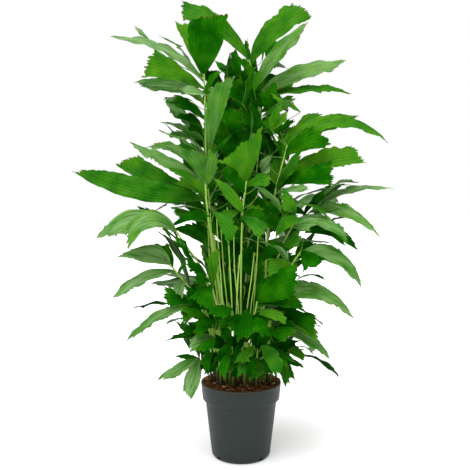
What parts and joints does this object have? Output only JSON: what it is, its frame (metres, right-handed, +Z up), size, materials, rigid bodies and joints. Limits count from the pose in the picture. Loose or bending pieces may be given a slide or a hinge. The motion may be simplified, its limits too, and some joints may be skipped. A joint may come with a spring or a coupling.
{
  "type": "potted fishtail palm",
  "caption": "Clump-forming fishtail palm with jagged wedge-shaped leaflets, standing in compost in a plain nursery pot with a stepped rim.",
  "frame": {"origin": "centre of the pot's flat foot, on the surface that it stands on", "axes": "+Z up along the plant's height, +X to the right as the front is looked at, the front faces -Y"},
  "size_m": [0.908, 0.6388, 1.3634],
  "materials": {
    "pot_plastic": "moulded polypropylene, dark grey-green, matt with a faint sheen on the rim",
    "compost": "coarse coir and bark compost, dark brown with light fibres",
    "palm_leaf": "living palm leaf and stalk, waxy green above and pale grey-green below"
  },
  "bodies": {
    "root": {"compost": "compost", "frond_back_01": "palm_leaf", "frond_back_02": "palm_leaf", "frond_back_03": "palm_leaf", "frond_back_04": "palm_leaf", "frond_back_05": "palm_leaf", "frond_back_06": "palm_leaf", "frond_back_07": "palm_leaf", "frond_back_08": "palm_leaf", "frond_back_09": "palm_leaf", "frond_back_10": "palm_leaf", "frond_back_11": "palm_leaf", "frond_back_12": "palm_leaf", "frond_crown_left": "palm_leaf", "frond_crown_right": "palm_leaf", "frond_left_broad": "palm_leaf", "frond_left_droop": "palm_leaf", "frond_left_foot": "palm_leaf", "frond_left_inner": "palm_leaf", "frond_left_reach": "palm_leaf", "frond_left_shade": "palm_leaf", "frond_left_skirt": "palm_leaf", "frond_left_tail": "palm_leaf", "frond_middle_fan": "palm_leaf", "frond_middle_low": "palm_leaf", "frond_right_arch": "palm_leaf", "frond_right_broad": "palm_leaf", "frond_right_dark": "palm_leaf", "frond_right_foot": "palm_leaf", "frond_right_low_arch": "palm_leaf", "frond_right_reach": "palm_leaf", "frond_right_skirt": "palm_leaf", "frond_tall_strap": "palm_leaf", "pot": "pot_plastic", "sucker_1": "palm_leaf", "sucker_2": "palm_leaf", "sucker_3": "palm_leaf", "sucker_4": "palm_leaf", "sucker_5": "palm_leaf"}
  },
  "joints": []
}
